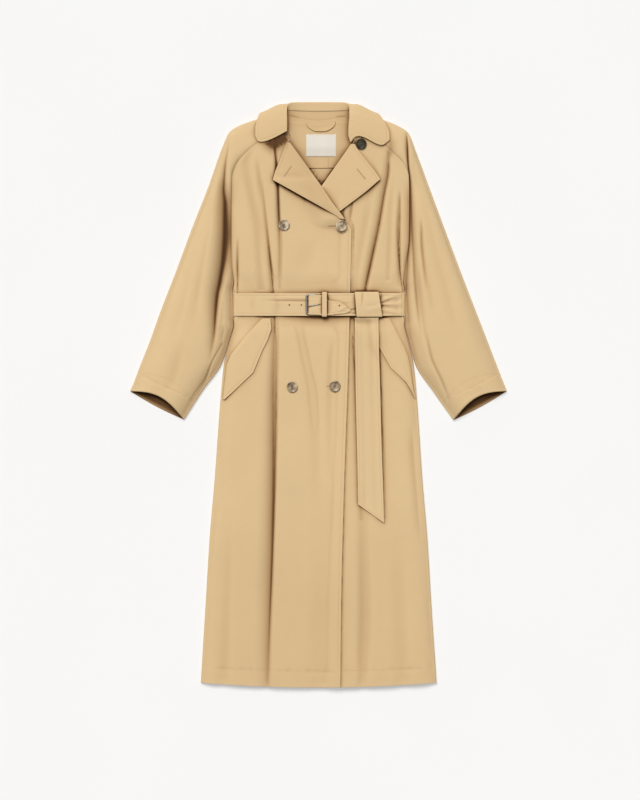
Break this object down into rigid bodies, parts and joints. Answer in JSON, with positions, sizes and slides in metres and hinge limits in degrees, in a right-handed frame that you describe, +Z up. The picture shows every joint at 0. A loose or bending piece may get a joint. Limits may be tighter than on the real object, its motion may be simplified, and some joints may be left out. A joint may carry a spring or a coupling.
{
  "type": "trench coat",
  "caption": "Long belted double-breasted trench coat with raglan sleeves and slanted pocket flaps, laid flat on its back.",
  "frame": {"origin": "under the middle of the coat's bounding box, on the surface that it lies on", "axes": "+Z up out of the surface; +Y from hem to collar; +X to the right of a viewer who looks down at the front of the coat"},
  "size_m": [0.793, 1.231, 0.0342],
  "materials": {
    "coat_cloth": "matt beige cotton gabardine",
    "collar_cloth": "the same gabardine, over interlining",
    "belt_cloth": "the same gabardine, two layers stitched together",
    "facing_cloth": "inside of the gabardine, a little darker",
    "label_cloth": "blank off-white satin",
    "button_horn": "mottled brown horn look, polished",
    "buckle_metal": "dull grey metal"
  },
  "bodies": {
    "root": {"back": "coat_cloth", "back_neck_facing": "facing_cloth", "belt": "belt_cloth", "belt_end": "belt_cloth", "belt_keeper": "belt_cloth", "belt_knot": "belt_cloth", "belt_tail": "belt_cloth", "buckle_frame": "buckle_metal", "buckle_prong": "buckle_metal", "button_lower_left": "button_horn", "button_lower_right": "button_horn", "button_throat": "button_horn", "button_upper_left": "button_horn", "button_upper_right": "button_horn", "collar_fall": "collar_cloth", "collar_stand": "collar_cloth", "front_under": "coat_cloth", "front_over": "coat_cloth", "hanger_loop": "facing_cloth", "label": "label_cloth", "lapel_left": "collar_cloth", "lapel_right": "collar_cloth", "pocket_flap_left": "coat_cloth", "pocket_flap_right": "coat_cloth", "sleeve_back_left": "coat_cloth", "sleeve_back_right": "coat_cloth", "sleeve_front_left": "coat_cloth", "sleeve_front_right": "coat_cloth"}
  },
  "joints": []
}
